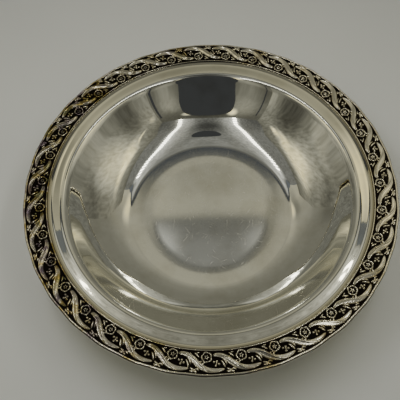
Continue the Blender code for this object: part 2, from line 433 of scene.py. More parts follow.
@dataclass(frozen=True)
class Turning:
    """Settings for one turned piece."""

    segments: int
    sharp_degrees: float = 40.0
    merge_distance: float = 0.002 * MM
    wave_count: int = 0
    wave_start: float = 0.0
    wave_height: float = 0.0
    wave_from: float = 0.0
    wave_to: float = 1.0

    def make(self, name: str, outline: list[Share], finish: Material) -> Object:
        """Turn an outline into a closed piece.

        Args:
            name: The piece's name.
            outline: Points of (radius, height). They end on the axis, or come round to the start.
            finish: The piece's material.

        Returns:
            The finished object.
        """
        line = bpy.data.meshes.new(name + "_outline")
        line.from_pydata([(radius, 0.0, height) for radius, height in outline], [], [])
        holder = link_object(name + "_outline", line)
        modifier = holder.modifiers.new(TURNED, "NODES")
        modifier.node_group = bpy.data.node_groups.get(TURNED) or turned_tree()
        values = {
            "Segments": self.segments, "Wave count": self.wave_count, "Wave start": self.wave_start,
            "Wave height": self.wave_height, "Wave from radius": self.wave_from,
            "Wave to radius": self.wave_to, "Merge distance": self.merge_distance, "Finish": finish
        }
        set_inputs(modifier, values)
        return bake_nodes(holder, name, self.sharp_degrees)


@dataclass(frozen=True)
class PolishedPlate:
    """Electroplated silver on spun brass, buffed to a mirror and worn by use.

    The eye gets sharp reflections that bend a little where the sheet isn't quite true, a warm
    tone, a soft haze of fine scratches where things were put down, and a few single scratches.
    """

    name: str = "Electroplated silver, spun and buffed"
    silver: str = "#EFEEE6"
    toned: str = "#EFEBD8"
    tarnish_and_dark_band: str = "#A69F86"
    scratch: str = "#F4F0E6"
    roughness_wall: float = 0.024
    roughness_floor: float = 0.092
    roughness_haze: float = 0.016
    roughness_scratch: float = 0.22
    floor_radius_mm: float = 42.0
    wall_radius_mm: float = 56.0
    cloud_mm: float = 26.0
    wave_mm: float = 30.0
    wave_height_mm: float = 0.012
    haze_length_mm: float = 9.0
    haze_width_mm: float = 0.5
    haze_turn: float = 0.9
    haze_cut: Share = (0.22, 0.42)
    scratch_length_mm: float = 11.0
    scratch_width_mm: float = 0.42
    scratch_angles: tuple[float, ...] = (0.35, 0.85, 1.5, 2.1, 2.7)
    scratch_shift: Share = (0.037, 0.073)
    scratch_cut: Share = (0.71, 0.77)
    toned_from_mm: float = 93.5
    toned_to_mm: float = 97.0
    # A darker, duller band on the flange just inside the border's wire, between these radii.
    dark_band_from_mm: float = 101.8
    dark_band_to_mm: float = 103.9
    dark_band_share: float = 0.75
    cloud_roughness: float = 0.6
    dull_cut: Share = (0.45, 0.75)
    dull_share: float = 0.35

    def make(self) -> Material:
        """Build the material."""
        material, tree = new_material(self.name)
        place = add_node(tree, "ShaderNodeTexCoord").outputs["Object"]
        parts = add_node(tree, "ShaderNodeSeparateXYZ", (place,)).outputs
        level = add_node(tree, "ShaderNodeCombineXYZ", (parts["X"], parts["Y"]))
        radius = add_node(tree, "ShaderNodeVectorMath", (level,), operation="LENGTH").outputs["Value"]
        zones = (
            (self.wall_radius_mm, self.floor_radius_mm, 1.0), (self.toned_from_mm, self.toned_to_mm, 1.0),
            (self.dark_band_from_mm, self.dark_band_to_mm, self.dark_band_share)
        )
        shares = []
        for start, end, most in zones:
            values = (radius, start * MM, end * MM, 0.0, most)
            shares.append(add_node(tree, "ShaderNodeMapRange", values, interpolation_type="SMOOTHSTEP"))
        on_floor, on_flange, near_border_band = shares
        scratch = (self.scratch_length_mm * MM, self.scratch_width_mm * MM, 1.0)
        lines = None
        for number, angle in enumerate(self.scratch_angles):
            shift_x, shift_y = self.scratch_shift
            values = {"Vector": place, "Location": (number * shift_x, number * shift_y, 0.0)}
            values |= {"Rotation": (0.0, 0.0, angle), "Scale": scratch}
            turned = add_node(tree, "ShaderNodeMapping", values, vector_type="TEXTURE")
            noise = add_node(tree, "ShaderNodeTexNoise", {"Vector": turned, "Scale": 1.0, "Detail": 1.0})
            thin = add_node(tree, "ShaderNodeMapRange", (noise, *self.scratch_cut))
            lines = add_node(tree, "ShaderNodeMath", (lines, thin), operation="MAXIMUM") if lines else thin
        scratches = add_node(tree, "ShaderNodeMath", (lines, on_floor), operation="MULTIPLY")
        values = {"Vector": place, "Rotation": (0.0, 0.0, self.haze_turn)}
        values["Scale"] = (self.haze_length_mm * MM, self.haze_width_mm * MM, 1.0)
        brushed = add_node(tree, "ShaderNodeMapping", values, vector_type="TEXTURE")
        haze = add_node(tree, "ShaderNodeTexNoise", {"Vector": brushed, "Scale": 1.0, "Detail": 2.0})
        cloudy = {"Vector": place, "Scale": per_metre(self.cloud_mm), "Detail": 4.0}
        clouds = add_node(tree, "ShaderNodeTexNoise", cloudy | {"Roughness": self.cloud_roughness})
        hazy = add_node(tree, "ShaderNodeMath", (haze, clouds), operation="MULTIPLY")
        ranges = (
            (on_floor, 0.0, 1.0, self.roughness_wall, self.roughness_floor),
            (hazy, *self.haze_cut, 0.0, self.roughness_haze),
            (scratches, 0.0, 1.0, 0.0, self.roughness_scratch),
        )
        base, worn, scratched = (add_node(tree, "ShaderNodeMapRange", values) for values in ranges)
        used = add_node(tree, "ShaderNodeMath", (base, worn), operation="ADD")
        roughness = add_node(tree, "ShaderNodeMath", (used, scratched), operation="ADD")
        dull = add_node(tree, "ShaderNodeMapRange", (clouds, *self.dull_cut, 0.0, self.dull_share))
        # The tarnish colour goes on the dull clouds and on the darker band inside the border's wire.
        dull_and_dark_band = add_node(tree, "ShaderNodeMath", (near_border_band, dull), operation="MAXIMUM")
        colour = linear(self.silver)
        for share, hue in ((on_flange, self.toned), (dull_and_dark_band, self.tarnish_and_dark_band), (scratches, self.scratch)):
            mixed = {0: share, 6: colour, 7: linear(hue)}
            colour = add_node(tree, "ShaderNodeMix", mixed, data_type="RGBA").outputs[2]
        wavy = {"Vector": place, "Scale": per_metre(self.wave_mm), "Detail": 1.0}
        waves = add_node(tree, "ShaderNodeTexNoise", wavy)
        untrue = {"Height": waves, "Strength": 1.0, "Distance": self.wave_height_mm * MM}
        end_metal(tree, colour, roughness, add_node(tree, "ShaderNodeBump", untrue))
        return material


@dataclass(frozen=True)
class OxidisedPlate:
    """Cast silver plate, blackened in its hollows and worn bright on its high places.

    The eye gets near-black brown ground, bright worn ridges between it, and a golden tint where
    the silver has gone thin over brass. Painted shade darkens it towards its left side (-x) and
    painted light brightens it towards its right, and its film tones gather on the darker side.
    Each noise is its size in millimetres, its detail and its roughness.
    """

    name: str = "Cast silver plate, oxidised and wiped"
    bright: str = "#F2EBD7"
    olive: str = "#93926A"
    brass: str = "#BFA866"
    violet: str = "#94848F"
    black: str = "#1B1713"
    ground_roughness: float = 0.52
    bright_roughness: float = 0.11
    grain: Point = (0.55, 3.0, 0.6)
    patches: Point = (21.0, 3.0, 0.55)
    films: Point = (8.0, 2.0, 0.5)
    film_stops: tuple[float, ...] = (0.36, 0.44, 0.52, 0.62)
    # Painted shade and light by side: the shares at the left (-x) and right (+x) edges, and the gain that
    # darkens the left and brightens the right.
    shaded_side_share: float = 0.3
    lit_side_share: float = -0.22
    side_shade_gain: float = -0.7
    uneven: float = 0.14
    uneven_cut: Share = (0.3, 0.7)
    grain_height_mm: float = 0.05
    golden_cut: Share = (0.56, 0.8)
    toned_cut: Share = (0.5, 0.8)
    wipe: Share = (0.18, 0.62)

    def make(self) -> Material:
        """Build the material. It reads the pieces' own polish attribute."""
        material, tree = new_material(self.name)
        place = add_node(tree, "ShaderNodeTexCoord").outputs["Object"]
        polish = add_node(tree, "ShaderNodeAttribute", attribute_name="polish").outputs["Fac"]
        noises = []
        for size, detail, roughness in (self.grain, self.patches, self.films):
            values = {"Vector": place, "Scale": per_metre(size), "Detail": detail, "Roughness": roughness}
            noises.append(add_node(tree, "ShaderNodeTexNoise", values))
        grain, patches, films = noises
        across = add_node(tree, "ShaderNodeSeparateXYZ", (place,)).outputs["X"]
        # Painted shade and light: darker towards the left side (-x), lighter towards the right, added to
        # the real uneven wear.
        sides = (across, OUTER_MM * MM, -OUTER_MM * MM, self.lit_side_share, self.shaded_side_share)
        toward_shaded_side = add_node(tree, "ShaderNodeMapRange", sides)
        uneven = add_node(tree, "ShaderNodeMapRange", (grain, *self.uneven_cut, -self.uneven, self.uneven))
        side_shade_and_uneven_wear = add_node(tree, "ShaderNodeMath", (toward_shaded_side, self.side_shade_gain, uneven), operation="MULTIPLY_ADD")
        rubbed_and_side_shaded = add_node(tree, "ShaderNodeMath", (polish, side_shade_and_uneven_wear), operation="ADD")
        # The share of bright metal: real wear, with the painted side shade in it.
        wiped_and_side_shaded = add_node(tree, "ShaderNodeMapRange", (rubbed_and_side_shaded, *self.wipe), interpolation_type="SMOOTHSTEP")
        # The film tones gather towards the painted-shade side.
        toning = add_node(tree, "ShaderNodeMath", (patches, toward_shaded_side), operation="ADD")
        golden = add_node(tree, "ShaderNodeMapRange", (patches, *self.golden_cut))
        toned = add_node(tree, "ShaderNodeMapRange", (toning, *self.toned_cut))
        hues = add_node(tree, "ShaderNodeValToRGB", (films,))
        ramp = hues.color_ramp
        colours = (self.olive, self.brass, self.bright, self.violet)
        while len(ramp.elements) < len(colours):
            ramp.elements.new(0.5)
        for element, position, hue in zip(ramp.elements, self.film_stops, colours):
            element.position = position
            element.color = linear(hue)
        mixed = {0: toned, 6: linear(self.bright), 7: hues}
        silver = add_node(tree, "ShaderNodeMix", mixed, data_type="RGBA").outputs[2]
        mixed = {0: golden, 6: silver, 7: linear(self.brass)}
        brassy = add_node(tree, "ShaderNodeMix", mixed, data_type="RGBA").outputs[2]
        mixed = {0: wiped_and_side_shaded, 6: linear(self.black), 7: brassy}
        colour = add_node(tree, "ShaderNodeMix", mixed, data_type="RGBA").outputs[2]
        smooth = (wiped_and_side_shaded, 0.0, 1.0, self.ground_roughness, self.bright_roughness)
        roughness = add_node(tree, "ShaderNodeMapRange", smooth)
        raised = {"Height": grain, "Strength": 0.5, "Distance": self.grain_height_mm * MM}
        end_metal(tree, colour, roughness, add_node(tree, "ShaderNodeBump", raised))
        return material


@dataclass(frozen=True)
class SoftSolder:
    """Soft solder run into a corner and left as it froze: dull grey, with a slight orange peel."""

    name: str = "Soft solder, as it froze"
    grey: str = "#8E8D89"
    stain: str = "#5C5347"
    roughness: float = 0.42
    peel_mm: float = 1.6
    peel_height_mm: float = 0.06
    peel_strength: float = 0.6
    stain_mm: float = 9.0
    stain_cut: Share = (0.45, 0.7)

    def make(self) -> Material:
        """Build the material."""
        material, tree = new_material(self.name)
        place = add_node(tree, "ShaderNodeTexCoord").outputs["Object"]
        peel = add_node(tree, "ShaderNodeTexNoise", {"Vector": place, "Scale": per_metre(self.peel_mm)})
        spots = {"Vector": place, "Scale": per_metre(self.stain_mm), "Detail": 4.0}
        stains = add_node(tree, "ShaderNodeTexNoise", spots)
        share = add_node(tree, "ShaderNodeMapRange", (stains, *self.stain_cut))
        mixed = {0: share, 6: linear(self.grey), 7: linear(self.stain)}
        colour = add_node(tree, "ShaderNodeMix", mixed, data_type="RGBA").outputs[2]
        frozen = {"Height": peel, "Strength": self.peel_strength, "Distance": self.peel_height_mm * MM}
        end_metal(tree, colour, self.roughness, add_node(tree, "ShaderNodeBump", frozen))
        return material


@dataclass
class BowlBody:
    """The spun sheet: a near-flat floor, a round wall, a rolled lip and a flange.

    Radii and heights that other pieces seat on come from the frame.
    """

    sheet_mm: float = 0.9
    floor_radius_mm: float = 36.5
    border_inner_mm: float = 104.6
    groove_depth_mm: float = 0.25
    edge_round_mm: float = 0.2
    floor_steps: int = 10
    groove_steps: int = 6
    edge_steps: int = 4
    stations: tuple[tuple[float, float, int], ...] = (
        (39.0, 1.6, 4), (41.2, 3.8, 4), (44.0, 4.4, 4), (47.0, 6.0, 4), (52.5, 6.4, 6),
        (54.0, 8.1, 4), (55.0, 11.7, 4), (56.0, 15.0, 4), (57.0, 16.6, 4), (60.0, 20.3, 6),
        (62.0, 23.6, 4), (67.0, 29.7, 8), (70.0, 35.0, 6), (74.0, 37.4, 6), (78.0, 42.2, 6),
        (82.0, 46.9, 6), (86.0, 50.4, 6), (91.2, 52.4, 8), (92.1, 49.0, 5), (93.5, 41.0, 8),
        (94.6, 24.0, 8), (95.2, 13.0, 5), (95.7, 10.5, 3), (96.4, 9.0, 3), (96.9, 6.2, 3),
        (97.4, 4.4, 3), (98.2, 3.8, 3), (99.2, 3.3, 3), (100.2, 3.3, 3), (100.9, 4.6, 3),
        (101.6, 7.8, 4), (102.4, 12.0, 4), (103.2, 15.5, 4), (104.1, 19.0, 5),
    )
    turning: Turning = Turning(segments=256)

    def __post_init__(self) -> None:
        """Read the heights of the sheet from the frame."""
        low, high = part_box("bowl_body")
        self.underside = low[2]
        self.seat_top = high[2]
        self.edge_radius = high[0]
        self.floor_top = self.underside + self.sheet_mm * MM

    def curve(self, start: Share) -> list[Share]:
        """Follow the stations from the level floor to the border's seat.

        Each station is (radius in millimetres, slope in degrees, steps). The sine of the slope
        changes evenly between stations, and the rise is stretched to meet the seat.

        Args:
            start: The first (radius, height) in metres. It isn't in the result.

        Returns:
            Points of (radius, height).
        """
        radius, angle = start[0], 0.0
        raw = [(radius, 0.0)]
        for radius_mm, degrees, steps in self.stations:
            first, first_sine = radius, math.sin(angle)
            last_sine = math.sin(math.radians(degrees))
            for step in range(1, steps + 1):
                part = step / steps
                next_radius = first + part * (radius_mm * MM - first)
                next_angle = math.asin(first_sine + part * (last_sine - first_sine))
                rise = (next_radius - radius) * math.tan((angle + next_angle) / 2)
                raw.append((next_radius, raw[-1][1] + rise))
                radius, angle = next_radius, next_angle
        stretch = (self.seat_top - start[1]) / raw[-1][1]
        log.info("The section's rise is stretched by %.4f", stretch)
        return [(radius, start[1] + rise * stretch) for radius, rise in raw[1:]]

    def outline(self) -> list[Share]:
        """Give the whole section: out along the top, round the edge and back underneath."""
        steps, floor_edge = self.floor_steps, self.floor_radius_mm * MM
        floor = [(floor_edge * step / steps, self.floor_top) for step in range(steps + 1)]
        shown = floor + self.curve(floor[-1])
        groove_start, groove_end = shown[-1][0], self.border_inner_mm * MM
        groove = []
        for step in range(1, self.groove_steps + 1):
            part = step / self.groove_steps
            dip = self.groove_depth_mm * MM * math.sin(part * math.pi)
            groove.append((groove_start + part * (groove_end - groove_start), self.seat_top - dip))
        sheet = self.sheet_mm * MM
        under = []
        for before, here, after in zip(shown, shown[1:], shown[2:]):
            run, rise = after[0] - before[0], after[1] - before[1]
            length = math.hypot(run, rise)
            under.append((here[0] + sheet * rise / length, here[1] - sheet * run / length))
        rounding = self.edge_round_mm * MM
        inside = self.edge_radius - rounding
        edge = arc((inside, self.seat_top - rounding), rounding, 90.0, 0.0, self.edge_steps)
        lower = self.seat_top - sheet + rounding
        edge += arc((inside, lower), rounding, 0.0, -90.0, self.edge_steps)
        under_flange = (self.border_inner_mm * MM + sheet, self.seat_top - sheet)
        return shown + groove + edge + [under_flange] + under[::-1] + [(0.0, self.underside)]

    def build(self, finish: Material) -> Object:
        """Turn the body and give it its finish."""
        return self.turning.make("body", self.outline(), finish)


@dataclass
class FootRing:
    """The drawn ring under the floor, flared and beaded at its foot."""

    wall_mm: float = 1.0
    bead_height_mm: float = 2.0
    bead_width_mm: float = 2.6
    flare_mm: float = 5.0
    sole_share: float = 0.7
    curve_steps: int = 14
    bead_steps: int = 10
    turning: Turning = Turning(segments=200)

    def outline(self) -> list[Share]:
        """Give the ring's section: up the inner side, and down the outer side to the bead."""
        foot, _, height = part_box("foot_ring")[1]
        wall, bead = self.wall_mm * MM, self.bead_width_mm * MM
        bead_height = self.bead_height_mm * MM
        seat = foot - wall - self.flare_mm * MM
        outer, inner = [], []
        for step in range(self.curve_steps + 1):
            angle = step / self.curve_steps * math.pi / 2
            share = 1.0 - math.cos(angle)
            radius = seat + self.flare_mm * MM * share
            level = height - (height - bead_height) * math.sin(angle)
            outer.append((radius, level))
            inner.append((radius - wall, level - wall * share / 2))
        sole = bead * (1.0 - self.sole_share) / 2
        half = bead_height / 2
        turns = [step / self.bead_steps * math.pi / 2 for step in range(1, self.bead_steps + 1)]
        for turn in turns:
            outer.append((foot - wall + wall * math.sin(turn), bead_height + half * (math.cos(turn) - 1.0)))
        for turn in turns:
            outer.append((foot - sole * (1.0 - math.cos(turn)), half * (1.0 - math.sin(turn))))
        inner += [(foot - bead, half), (foot - bead + sole, 0.0)]
        ring = inner[::-1] + outer
        return ring + [ring[0]]

    def build(self, finish: Material) -> Object:
        """Turn the foot ring and give it its finish."""
        return self.turning.make("foot", self.outline(), finish)


class Motif:
    """One repeat's worth of a small form, shaped on the unrolled border.

    A place is (along, radius, height) in millimetres: along runs clockwise seen from above, as
    measured at the middle of the border, and radius is the distance from the bowl's axis.
    """

    middle_radius_mm = 112.0
    least_taper = 0.0004
    dome_rings = 4
    dome_sides = 12

    def __init__(self, name: str) -> None:
        """Start an empty shape with room for the polish of its points."""
        self.name = name
        self.shape = bmesh.new()
        self.polish = self.shape.verts.layers.float.new("polish")

    def point(self, along: float, radius: float, height: float, polish: float) -> BMVert:
        """Add one point of the border.

        Args:
            along: Millimetres clockwise from the flower's centre.
            radius: Millimetres from the axis.
            height: Millimetres above the table.
            polish: From 0 in a blackened hollow to 1 on a worn ridge.

        Returns:
            The new vertex.
        """
        angle = -along / self.middle_radius_mm
        place = (radius * MM * math.cos(angle), radius * MM * math.sin(angle), height * MM)
        vertex = self.shape.verts.new(place)
        vertex[self.polish] = polish
        return vertex

    def skin(self, rows: list[list[BMVert]]) -> None:
        """Join rows of points by faces.

        Args:
            rows: The rows, each with as many vertices and running round to its start.
        """
        for first, second in zip(rows, rows[1:]):
            for index in range(len(first)):
                after = (index + 1) % len(first)
                self.shape.faces.new((first[index], first[after], second[after], second[index]))

    def sweep(
        self, stations: Stations, section: Callable[[float, float], Share], ground: float,
        steps: tuple[int, int], tip_share: float
    ) -> None:
        """Sweep a raised section along a curve.

        Args:
            stations: (along, radius, half width, height, fold) of the middle line, in
                millimetres. The fold is the share of the half width where the crest lies.
            section: Gives the share of the height and the polish at a share of the half width,
                with the fold as its second argument.
            ground: Height of the ground under it, in millimetres.
            steps: How many steps the sweep takes along and across.
            tip_share: Share of the length at each end over which the form rounds off.
        """
        rows = []
        for step in range(steps[0] + 1):
            place = step / steps[0]
            along, radius, half, rise, fold = spline_point(stations, place)
            before = spline_point(stations, max(place - 0.5 / steps[0], 0.0))
            after = spline_point(stations, min(place + 0.5 / steps[0], 1.0))
            run, climb = after[0] - before[0], after[1] - before[1]
            length = math.hypot(run, climb)
            across = (-climb / length, run / length)
            from_end = min(place, 1.0 - place) / tip_share
            taper = math.sqrt(max(1.0 - (1.0 - min(from_end, 1.0)) ** 2, self.least_taper))
            row = []
            for number in range(steps[1] + 1):
                share = math.sin((number / steps[1] - 0.5) * math.pi)
                lift, polish = section(share, fold)
                offset = share * half * taper
                middle = (along + across[0] * offset, radius + across[1] * offset)
                height = ground + rise * lift * (taper if lift > 0.0 else 1.0)
                row.append(self.point(*middle, height, polish))
            rows.append(row)
        self.skin(rows)
        self.shape.faces.new(rows[0])
        self.shape.faces.new(rows[-1][::-1])

    def dome(self, centre: Share, size: float, ground: float, height: float) -> None:
        """Add a round boss.

        Args:
            centre: (along, radius) of its middle, in millimetres.
            size: Its own radius.
            ground: Height of its foot, in millimetres.
            height: Its own height.
        """
        rows = []
        for ring in range(self.dome_rings):
            rise = ring / self.dome_rings * math.pi / 2
            row = []
            for side in range(self.dome_sides):
                angle = side / self.dome_sides * math.tau
                along = centre[0] + size * math.cos(rise) * math.cos(angle)
                radius = centre[1] + size * math.cos(rise) * math.sin(angle)
                row.append(self.point(along, radius, ground + height * math.sin(rise), math.sin(rise)))
            rows.append(row)
        top = self.point(*centre, ground + height, 1.0)
        self.skin(rows)
        for index in range(self.dome_sides):
            self.shape.faces.new((rows[-1][index], rows[-1][(index + 1) % self.dome_sides], top))
        self.shape.faces.new(rows[0][::-1])

    def finish(self) -> Object:
        """Close the shape into an object that the repeats can copy."""
        bmesh.ops.recalc_face_normals(self.shape, faces=self.shape.faces)
        mesh = bpy.data.meshes.new(self.name)
        self.shape.to_mesh(mesh)
        self.shape.free()
        return link_object(self.name, mesh)


@dataclass
class RimBorder:
    """The cast border: a wire, leaves and flowers in a blackened ground, and a turned-down edge."""

    repeats: int = 35
    first_flower_degrees: float = -10.0
    inner_mm: float = 104.6
    underside_mm: float = 43.4
    wire_radius_mm: float = 0.4
    wire_drop_mm: float = 0.58
    wire_steps: int = 8
    # Each is how far out in radii of the wire, and the rise from the ground.
    wire_foot: tuple[Share, Share] = ((2.3, -0.14), (3.4, 0.0))
    wire_polished: float = 2.0
    ground_mm: float = 43.78
    edge_inner_mm: float = 117.7
    edge_top_mm: float = 44.2
    # How far in from the edge the ground begins to rise, and by how much.
    edge_step: Share = (0.6, 0.08)
    edge_round_mm: float = 0.8
    edge_round_degrees: float = 150.0
    edge_round_steps: int = 10
    edge_bottom_mm: float = 41.1
    lip_inner_mm: float = 117.9
    bevel_mm: float = 0.3
    edge_wave_mm: float = 0.35
    # Where the wave begins and is whole, from the edge's inner side.
    edge_wave_reach: Share = (-1.0, 0.4)
    edge_bare_mm: float = 43.98
    ground_bare_mm: float = 0.03
    bare_rise_mm: float = 0.14
    # Steps along and across, and the share of the length over which an end rounds off.
    leaf_steps: tuple[int, int] = (46, 20)
    leaf_tip: float = 0.06
    stem_steps: tuple[int, int] = (10, 8)
    stem_tip: float = 0.25
    sharp_degrees: float = 60.0
    shift_degrees: float = 0.06
    seed: int = 7
    columns_per_repeat: int = 16
    leaf_line: Stations = (
        (-10.3, 115.7, 0.45, 0.6, 0.3), (-8.2, 116.2, 1.05, 0.95, 0.5), (-5.5, 116.5, 1.4, 1.15, 0.6),
        (-2.8, 116.4, 1.55, 1.25, 0.45), (-0.3, 115.9, 1.65, 1.32, 0.1), (2.2, 114.8, 1.8, 1.4, -0.25),
        (4.6, 113.1, 1.95, 1.42, -0.42), (6.6, 111.3, 1.98, 1.42, -0.42), (8.7, 109.6, 1.8, 1.42, -0.3),
        (10.9, 108.4, 1.6, 1.4, -0.12), (13.0, 107.8, 1.4, 1.32, 0.0), (15.0, 107.7, 1.1, 1.1, 0.0),
        (16.6, 108.1, 0.55, 0.75, 0.0),
    )
    flower_centre: Share = (-0.1, 109.1)
    flower_radius_mm: float = 3.25
    berry_places: tuple[Point, ...] = (
        (-7.1, 112.9, 0.78), (-5.95, 111.5, 0.78), (-4.25, 111.75, 0.78),
        (-5.3, 113.7, 0.78), (-5.75, 112.6, 0.55),
    )
    frond_lines: tuple[Stations, ...] = (
        ((11.3, 109.7, 0.3, 0.7), (10.1, 110.5, 0.52, 0.95),
         (9.2, 111.9, 0.52, 0.9), (8.7, 113.6, 0.35, 0.6)),
        ((12.1, 110.7, 0.3, 0.65), (11.1, 111.8, 0.55, 0.95),
         (10.4, 113.4, 0.6, 0.95), (9.6, 115.0, 0.5, 0.75)),
    )
    bud_lines: tuple[Stations, ...] = (
        ((9.2, 115.3, 0.3, 0.55), (8.2, 115.8, 0.55, 0.8),
         (6.9, 116.4, 0.55, 0.8), (5.9, 116.2, 0.35, 0.55)),
        ((6.3, 116.3, 0.35, 0.6), (5.4, 115.8, 0.55, 0.8), (4.5, 116.2, 0.45, 0.7), (3.9, 116.9, 0.3, 0.5)),
        ((6.4, 116.6, 0.35, 0.6), (7.4, 117.3, 0.6, 0.8), (8.4, 117.2, 0.55, 0.7), (9.2, 116.7, 0.3, 0.5)),
        ((6.4, 116.7, 0.4, 0.6), (5.9, 117.4, 0.6, 0.8), (5.0, 117.7, 0.45, 0.6)),
        ((1.0, 111.7, 0.35, 0.6), (1.6, 112.5, 0.55, 0.85),
         (2.3, 113.4, 0.6, 0.95), (3.0, 114.2, 0.4, 0.9)),
        ((2.4, 111.4, 0.3, 0.5), (3.2, 111.6, 0.45, 0.75), (4.0, 112.0, 0.35, 0.8)),
        ((4.1, 109.4, 0.3, 0.45), (5.0, 108.5, 0.48, 0.8), (6.2, 107.4, 0.5, 0.85), (7.4, 106.8, 0.3, 0.6)),
        ((4.1, 106.6, 0.28, 0.45), (5.0, 106.6, 0.42, 0.7), (6.0, 106.9, 0.3, 0.6)),
    )
    berry_rise: float = 1.25
    flower_petals: int = 5
    flower_sides: int = 40
    flower_rise_mm: float = 1.12
    # Each is a share of the radius, a share of the rise, and the polish there.
    flower_profile: tuple[Point, ...] = (
        (1.0, -0.25, 0.0), (0.985, 0.1, 0.0), (0.95, 0.45, 0.5), (0.9, 0.74, 1.0), (0.84, 0.84, 1.0),
        (0.77, 0.74, 0.9), (0.7, 0.42, 0.3), (0.62, 0.16, 0.0), (0.52, 0.1, 0.0), (0.44, 0.16, 0.1),
        (0.36, 0.5, 0.55), (0.24, 0.66, 0.6), (0.1, 0.4, 0.2),
    )
    petal_from: float = 0.6
    star_from: float = 0.3
    petal_swell: float = 0.085
    star_swell: float = -0.3
    lobe_power: float = 0.7
    notch_depth: float = 0.35
    notch_black: float = 0.8

    def ring_outline(self) -> list[Share]:
        """Give the section of the plain ring under the relief, all the way round."""
        wire, ground, rounding = self.wire_radius_mm, self.ground_mm, self.edge_round_mm
        outline = [(self.inner_mm, self.underside_mm)]
        wire_centre = (self.inner_mm + wire, self.edge_top_mm - self.wire_drop_mm)
        outline += arc(wire_centre, wire, 180.0, 0.0, self.wire_steps)
        outline += [(self.inner_mm + out * wire, ground + rise) for out, rise in self.wire_foot]
        outline += [
            (self.edge_inner_mm - self.edge_step[0], ground),
            (self.edge_inner_mm, ground + self.edge_step[1]),
        ]
        centre = (OUTER_MM - rounding, self.edge_top_mm - rounding)
        outline += arc(centre, rounding, self.edge_round_degrees, 0.0, self.edge_round_steps)
        outline += [
            (OUTER_MM, self.edge_bottom_mm + self.bevel_mm),
            (OUTER_MM - self.bevel_mm, self.edge_bottom_mm), (self.lip_inner_mm, self.edge_bottom_mm),
            (self.lip_inner_mm, self.underside_mm), (self.inner_mm, self.underside_mm)
        ]
        return [(radius * MM, height * MM) for radius, height in outline]

    def make_ring(self, finish: Material) -> Object:
        """Turn the plain ring, with an edge that waves in step with the leaves."""
        turning = Turning(
            segments=self.repeats * self.columns_per_repeat, wave_count=self.repeats,
            wave_start=math.radians(self.first_flower_degrees), wave_height=self.edge_wave_mm * MM,
            wave_from=(self.edge_inner_mm + self.edge_wave_reach[0]) * MM,
            wave_to=(self.edge_inner_mm + self.edge_wave_reach[1]) * MM
        )
        ring = turning.make("border_ring", self.ring_outline(), finish)
        layer = ring.data.attributes.new("polish", "FLOAT", "POINT")
        wire_end = self.inner_mm + self.wire_polished * self.wire_radius_mm
        for vertex, value in zip(ring.data.vertices, layer.data):
            radius = math.hypot(vertex.co.x, vertex.co.y) / MM
            height = vertex.co.z / MM
            on_edge = radius > self.edge_inner_mm
            bare = self.edge_bare_mm if on_edge else self.ground_mm + self.ground_bare_mm
            raised = min(max((height - bare) / self.bare_rise_mm, 0.0), 1.0)
            outside = on_edge or radius < wire_end
            value.value = 1.0 if outside and height < self.underside_mm else raised if outside else 0.0
        return ring

    def repeat(self, motif: Object, name: str, finish: Material) -> Object:
        """Copy a motif once for each flower of the border.

        Args:
            motif: The object to copy. It is removed afterwards.
            name: The finished piece's name.
            finish: Its material.

        Returns:
            The finished piece.
        """
        holder = link_object(name + "_holder", bpy.data.meshes.new(name + "_holder"))
        modifier = holder.modifiers.new("Repeated", "NODES")
        modifier.node_group = bpy.data.node_groups.get(REPEATED) or repeated_tree()
        values = {
            "Motif": motif, "Count": self.repeats, "First angle": math.radians(self.first_flower_degrees),
            "Shift": math.radians(self.shift_degrees), "Seed": self.seed, "Finish": finish
        }
        set_inputs(modifier, values)
        piece = bake_nodes(holder, name, self.sharp_degrees)
        bpy.data.objects.remove(motif)
        return piece

    def leaf(self) -> Object:
        """Shape one leaf: a long folded S from the outer edge to the wire."""
        motif = Motif("leaf")
        section = LeafSection().at
        motif.sweep(self.leaf_line, section, self.ground_mm, self.leaf_steps, self.leaf_tip)
        return motif.finish()

    def sprigs(self, name: str, lines: tuple[Stations, ...]) -> Object:
        """Shape small rounded stems.

        Args:
            name: The motif's name.
            lines: Their stations, as a leaf's but with no fold.

        Returns:
            The motif.
        """
        motif = Motif(name)
        for line in lines:
            stations = tuple((*station, 0.0) for station in line)
            motif.sweep(stations, round_stem, self.ground_mm, self.stem_steps, self.stem_tip)
        return motif.finish()

    def flower(self) -> Object:
        """Shape one open flower: a rolled rim of five petals round a hollow with a star."""
        motif = Motif("flower")
        rows = []
        for share, lift, polish in self.flower_profile:
            on_petals = share > self.petal_from
            swell = self.petal_swell if on_petals else self.star_swell if share > self.star_from else 0.0
            depth, black = (self.notch_depth, self.notch_black) if on_petals else (0.0, 0.0)
            row = []
            for side in range(self.flower_sides):
                angle = side / self.flower_sides * math.tau
                lobes = 2.0 * abs(math.cos(self.flower_petals * angle / 2.0)) ** self.lobe_power - 1.0
                distance = self.flower_radius_mm * share * (1.0 + swell * lobes)
                notch = max(-lobes, 0.0) ** 3
                along = self.flower_centre[0] + distance * math.cos(angle)
                radius = self.flower_centre[1] + distance * math.sin(angle)
                height = self.ground_mm + self.flower_rise_mm * lift * (1.0 - depth * notch)
                row.append(motif.point(along, radius, height, polish * (1.0 - black * notch)))
            rows.append(row)
        motif.skin(rows)
        motif.shape.faces.new(rows[-1])
        motif.shape.faces.new(rows[0][::-1])
        return motif.finish()

    def berries(self) -> Object:
        """Shape one cluster of berries."""
        motif = Motif("berries")
        for along, radius, size in self.berry_places:
            motif.dome((along, radius), size, self.ground_mm, self.berry_rise * size)
        return motif.finish()

    def fronds(self) -> Object:
        """Shape the two small curled fronds beside the leaf's outer side."""
        return self.sprigs("fronds", self.frond_lines)

    def buds(self) -> Object:
        """Shape the sprig by the outer edge, the flower's stalk and the small leaf by the wire."""
        return self.sprigs("buds", self.bud_lines)

